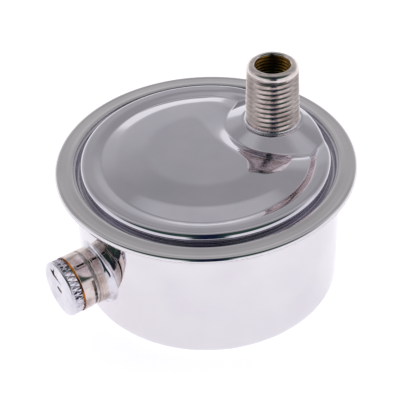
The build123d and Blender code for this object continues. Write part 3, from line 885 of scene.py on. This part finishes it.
heel = about_arm(wall_distance(tucked, flare_angle) - 0.15, tucked, flare_angle)[None]
toe = about_arm(wall_distance(flare_edge, flare_angle) - 0.15, flare_edge, flare_angle)[None]
brazed_flare = skin("brazed_flare", np.concatenate([outside, neck, heel, toe]), closed_rows=True, crease=50)
# Chrome over silver braze: mirror-like, with small dimples about 1.5 mm apart
braze_chrome = worn_nickel(
    "chrome_over_braze", "#dcd9e1", "#b3aeb6", grain=1.4, haze=(0.05, 0.14), depth=1.1e-5
)
brazed_flare.data.materials.append(braze_chrome)
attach(brazed_flare, "housing")
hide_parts("port_flare")

# ================= Friction washer, stop pin and clip
# Spring steel pieces between the collar and the barrel: a washer in the running groove, a short
# pin that meets the ends of the barrel's notch, and an open clip that keeps the barrel on.
def oiled_steel(name, tint, oil, grain):
    """Hardened steel with a film of oil, coloured `oil`, in patches `grain` mm wide."""
    material, tree, place, shader = plain_shader(name, Metallic=1.0)
    film = add_node(
        tree, "TexNoise", {"Vector": place, "Scale": 1000 / grain, "Detail": 4.0}
    ).outputs["Fac"]
    colour = add_node(
        tree, "ValToRGB", {0: film}, stops=[(0.35, linear(oil)), (0.65, linear(tint))]
    ).outputs[0]
    dull = add_node(
        tree, "MapRange", {"Value": film, "From Min": 0.3, "From Max": 0.7, "To Min": 0.45, "To Max": 0.25}
    ).outputs[0]
    scratched = add_node(tree, "Bump", {"Height": film, "Distance": 6e-6, "Strength": 0.7}).outputs[0]
    tree.links.new(colour, shader.inputs["Base Color"])
    tree.links.new(dull, shader.inputs["Roughness"])
    tree.links.new(scratched, shader.inputs["Normal"])
    return material


# Polished spring steel: bright grey with a straw film of oil
bright_steel = oiled_steel("bright_spring_steel", "#d0cccd", "#a39a94", 1.6)
for node in ("stop_pin", "retaining_clip"):
    dress(node, bright_steel)

washer_start, washer_end = collar_end, -washer_low[0]
washer_step = 0.22
washer_edge = arm_radius - washer_step
washer_notch = 0.16
washer_path = bent_path(
    [
        (washer_start, spigot_outside),
        (washer_start, washer_edge),
        (washer_start + 0.24, washer_edge),
        (washer_start + 0.32, washer_edge - washer_notch),
        (washer_start + 0.4, washer_edge),
        (washer_end, washer_edge),
        (washer_end, spigot_outside),
    ],
    [0.07, 0.05, 0.05, 0.05, 0.07],
    steps=4,
    hold=0.02,
)
washer_angle = np.linspace(0, 2 * pi, 224, endpoint=False)
grooved_washer = skin(
    "grooved_washer",
    about_arm(washer_path[:, :1] + 0 * washer_angle, washer_path[:, 1:] + 0 * washer_angle, washer_angle),
    closed_rows=True,
)
grooved_washer.data.materials.append(bright_steel)
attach(grooved_washer, "housing")
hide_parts("friction_washer")

# ================= Barrel
# The arm's turning half: a nickel plated brass sleeve on the collar's spigot. Its inner end has
# the stop's long notch, its outer end a neck for the cap, and it carries the second index line.
seam_low, seam_high = node_box("cap_seal_ring")
barrel_end = -seam_high[0]
neck_end = -barrel_low[0]
barrel_bore = spigot_outside + 0.05
neck_radius = 6.35
counterbore = 5.9
notch_depth = 0.7
notch_start = radians(34)
notch_arc = radians(190.7)
edge_bevel = 0.2
barrel_mark = (barrel_start + 1.35, 1.9)

angle = angles_round(224, mark_angle, notch_start, notch_start - notch_arc)
notched = ((notch_start - angle) % (2 * pi)) < notch_arc
front = barrel_start + notch_depth * notched
along_barrel = np.linspace(0, 1, 58)[:, None]
fine_start = front + 0.1
fine_end = barrel_end - edge_bevel - 0.06
distance = fine_start + (fine_end - fine_start) * along_barrel
radius = arm_radius - engraved(distance, angle, barrel_mark)
barrel_rows = [
    about_arm(front + 0 * radius[:1], barrel_bore + 0 * radius[:1], angle),
    about_arm(front + 0 * radius[:1], arm_radius - 0.07 + 0 * radius[:1], angle),
    about_arm(front + 0.07 + 0 * radius[:1], arm_radius + 0 * radius[:1], angle),
    about_arm(distance, radius, angle),
]
barrel_back = np.array(
    [
        (barrel_end - edge_bevel, arm_radius),
        (barrel_end, arm_radius - edge_bevel),
        (barrel_end, neck_radius),
        (neck_end, neck_radius),
        (neck_end, counterbore),
        (barrel_end, counterbore),
        (barrel_end, barrel_bore),
    ]
)
barrel_rows.append(about_arm(barrel_back[:, :1] + 0 * angle, barrel_back[:, 1:] + 0 * angle, angle))
turning_barrel = skin("turning_barrel", np.concatenate(barrel_rows), closed_rows=True, crease=38)
turning_barrel.data.materials.append(arm_nickel)
turning_barrel.data.materials.append(mark_dirt)
paint_faces(turning_barrel, in_mark, 1)
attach(turning_barrel, "adjuster")
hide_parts("valve_barrel")

# ================= Seam ring
# A thin copper ring between the barrel and the cap, fluxed and gone orange-brown, proud in the
# bevels on its two sides.
seam_start, seam_end = barrel_end, -seam_low[0]
seam_angle = np.linspace(0, 2 * pi, 256, endpoint=False)
seam_top = np.minimum(arm_radius - 0.03 + uneven(seam_angle, 0.02, 14), arm_radius)
seam_path = [
    (seam_start, neck_radius),
    (seam_start, arm_radius - edge_bevel),
    (seam_start - edge_bevel * 0.7, None),
    ((seam_start + seam_end) / 2, None),
    (seam_end + edge_bevel * 0.7, None),
    (seam_end, arm_radius - edge_bevel),
    (seam_end, neck_radius),
]
seam_drop = (0, 0, 0.05, 0, 0.05, 0, 0)
seam_rows = [
    about_arm(d + 0 * seam_angle, (r if r else seam_top - drop) + 0 * seam_angle, seam_angle)
    for (d, r), drop in zip(seam_path, seam_drop)
]
seam_ring = skin("seam_ring", np.stack(seam_rows), closed_rows=True, crease=50)
# Copper ring under varnished flux: bright orange where it is clean, umber where it is burnt
material, tree, place, shader = plain_shader("fluxed_copper", Metallic=0.85)
burn = add_node(tree, "TexNoise", {"Vector": place, "Scale": 330.0, "Detail": 3.0}).outputs["Fac"]
colour = add_node(
    tree,
    "ValToRGB",
    {0: burn},
    stops=[(0.38, linear("#4a2508")), (0.5, linear("#a35610")), (0.62, linear("#e58f1e"))],
).outputs[0]
tree.links.new(colour, shader.inputs["Base Color"])
shader.inputs["Roughness"].default_value = 0.32
lumpy = add_node(tree, "Bump", {"Height": burn, "Distance": 4e-5, "Strength": 0.5}).outputs[0]
tree.links.new(lumpy, shader.inputs["Normal"])
seam_ring.data.materials.append(material)
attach(seam_ring, "adjuster")
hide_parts("cap_seal_ring")

# ================= Cap
# A stamped brass cap pressed on the barrel's neck and nickel plated. Its side is knurled in
# coarse diamonds, and its face has a struck arrow with a swallow tail and a small slot.
cap_start, cap_end = -arm_high[0], -arm_low[0]
cap_face = 1.0
cap_rim = 0.55
cap_bend = 0.45
knurl_teeth = 32
knurl_pitch = 2.7
knurl_depth = 0.42
knurl_steps = 14
recess_depth = 0.3
slot_size = (1.9, 1.0)
slot_turn = radians(-20)
arrow_shape = np.array(
    [(0.2, 0.34), (-0.24, 0.54), (-0.21, 0.82), (-0.34, 0.62), (-0.54, 0.60), (-0.36, 0.41)]
)
angle = np.linspace(0, 2 * pi, knurl_teeth * knurl_steps, endpoint=False)


def zigzag(value):
    """0 at whole numbers, 1 halfway between them."""
    return 1 - np.abs(2 * (value % 1) - 1)


def knurled(distance, angle):
    """Depth of the diamond knurl: two crossed sets of V grooves, each diamond of its own height."""
    along = (distance - cap_start) / knurl_pitch
    left = knurl_teeth * angle / (2 * pi) + along
    right = knurl_teeth * angle / (2 * pi) - along
    height = np.clip(np.minimum(zigzag(left), zigzag(right)) * 1.3, 0, 1)
    own = knurl_heights[np.floor(left).astype(int) % knurl_teeth, np.floor(right).astype(int) % 8]
    return knurl_depth * (1 - height * own)


knurl_heights = chance.uniform(0.6, 1.0, (knurl_teeth, 8))
knurl_rows = np.linspace(cap_start + edge_bevel, cap_end - cap_rim - 0.1, 34)[::-1, None] + 0 * angle
knurl_end = np.clip((cap_end - cap_rim - 0.1 - knurl_rows) / 0.1, 0, 1)
rim_path = bent_path(
    [
        (cap_end, 0),
        (cap_end, arm_radius),
        (cap_end - cap_rim, arm_radius),
        (cap_end - cap_rim - 0.05, arm_radius - 0.06),
    ],
    [cap_bend, 0.03],
    steps=9,
    hold=0.03,
)
cup_path = np.array(
    [
        (cap_start, arm_radius - edge_bevel - knurl_depth * 0.4),
        (cap_start, neck_radius),
        (cap_end - cap_face, neck_radius),
        (cap_end - cap_face, 0),
    ]
)
knurled_cap = skin(
    "knurled_cap",
    np.concatenate(
        [
            about_arm(rim_path[:, :1] + 0 * angle, rim_path[:, 1:] + 0 * angle, angle),
            about_arm(knurl_rows, arm_radius - 0.02 - knurled(knurl_rows, angle) * knurl_end, angle),
            about_arm(cup_path[:, :1] + 0 * angle, cup_path[:, 1:] + 0 * angle, angle),
        ]
    ),
    crease=22,
)


def face_cutter(name, outline):
    """A straight-sided cutter through the cap's face, from its outline across and up the face."""
    count = len(outline)
    ends = [cap_end - recess_depth, cap_end + 0.5]
    points = [(-end, -across, arm_height + up) for end in ends for across, up in outline]
    ring = np.arange(count)
    sides = np.stack([ring, np.roll(ring, -1), np.roll(ring, -1) + count, ring + count], axis=1)
    mesh = bpy.data.meshes.new(name)
    mesh.from_pydata(
        np.array(points) / 1000, [], [*sides.tolist(), ring[::-1].tolist(), (ring + count).tolist()]
    )
    work = bmesh.new()
    work.from_mesh(mesh)
    bmesh.ops.recalc_face_normals(work, faces=work.faces)
    work.to_mesh(mesh)
    work.free()
    cutter = bpy.data.objects.new(name, mesh)
    scene.collection.objects.link(cutter)
    return cutter


slot_corners = np.array([(-1, -1), (1, -1), (1, 1), (-1, 1)]) * np.array(slot_size) / 2
slot_spin = np.array([[np.cos(slot_turn), np.sin(slot_turn)], [-np.sin(slot_turn), np.cos(slot_turn)]])
cut_away(knurled_cap, face_cutter("arrow_cutter", arrow_shape * arm_radius), crease=22)
cut_away(knurled_cap, face_cutter("slot_cutter", slot_corners @ slot_spin), crease=22)
# Nickel plate on stamped brass: pale lavender silver, brighter than the arm
cap_nickel = worn_nickel(
    "nickel_on_stamped_brass", "#e4e0e8", "#cbc6d0", grain=0.5, haze=(0.10, 0.2), depth=3e-6
)
# Plating worn thin in the struck arrow: copper-brown
recess_brown = bare_brass("brown_struck_brass", "#a08058", "#5d4632", grain=0.8)
knurled_cap.data.materials.clear()
knurled_cap.data.materials.append(cap_nickel)
knurled_cap.data.materials.append(recess_brown)


def in_recess(middles):
    depth = cap_end + middles[:, 0]
    spread = np.hypot(middles[:, 1], middles[:, 2] - arm_height)
    return (depth > 0.02) & (depth < recess_depth + 0.02) & (spread < arm_radius - 0.9)


paint_faces(knurled_cap, in_recess, 1)
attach(knurled_cap, "adjuster")
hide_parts("adjuster_cap")

# ================= Pieces inside the pot
# Stamped and turned brass: the splash baffle under the nipple, and behind the port the nut, the
# valve seat, the thermostat's bracket, its rivets, the shut-off pin and the locknut.
inner_brass = bare_brass("steamed_brass", "#c79a4e", "#7d5a2a")
turned_brass = bare_brass("turned_brass", "#d3ab5e", "#94703a", grain=0.7, haze=(0.2, 0.38))
for node in ("splash_baffle", "element_bracket"):
    dress(node, inner_brass)
for node in ("port_nut", "port_seat", "blade_rivets", "shutoff_pin", "calibration_locknut"):
    dress(node, turned_brass)
for node in ("pin_clip", "calibration_screw"):
    dress(node, bright_steel)

# Red vulcanised fibre saddle gasket between the pot's wall and the bracket
red_fibre = pressed_fibre("red_fibre_sheet", "#8a3b2c", "#5a2219", 0.6)
dress("port_gasket", red_fibre)

# ================= Bimetal blade
# A strip rolled from two alloys, riveted to the bracket: brass on the warm side, nickel steel on
# the other, with rolling lines along it.
blade_low, blade_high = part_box("bimetal_blade")
material, tree, place, shader = plain_shader("rolled_bimetal", Metallic=1.0)
axes = add_node(tree, "SeparateXYZ", {0: place}).outputs
side = add_node(
    tree, "MapRange", {"Value": axes["X"], "From Min": blade_low[0], "From Max": blade_high[0]}
).outputs[0]
alloys = add_node(
    tree, "ValToRGB", {0: side}, stops=[(0.47, linear("#b8b2a8")), (0.53, linear("#b98d4a"))]
).outputs[0]
stretched = add_node(tree, "Mapping", {"Vector": place, "Scale": (300, 120, 6000)}).outputs[0]
lines = add_node(tree, "TexNoise", {"Vector": stretched, "Scale": 1.0, "Detail": 3.0}).outputs["Fac"]
dull = add_node(
    tree, "MapRange", {"Value": lines, "From Min": 0.3, "From Max": 0.7, "To Min": 0.25, "To Max": 0.42}
).outputs[0]
rolled = add_node(tree, "Bump", {"Height": lines, "Distance": 6e-6, "Strength": 0.8}).outputs[0]
tree.links.new(alloys, shader.inputs["Base Color"])
tree.links.new(dull, shader.inputs["Roughness"])
tree.links.new(rolled, shader.inputs["Normal"])
dress("bimetal_blade", material)
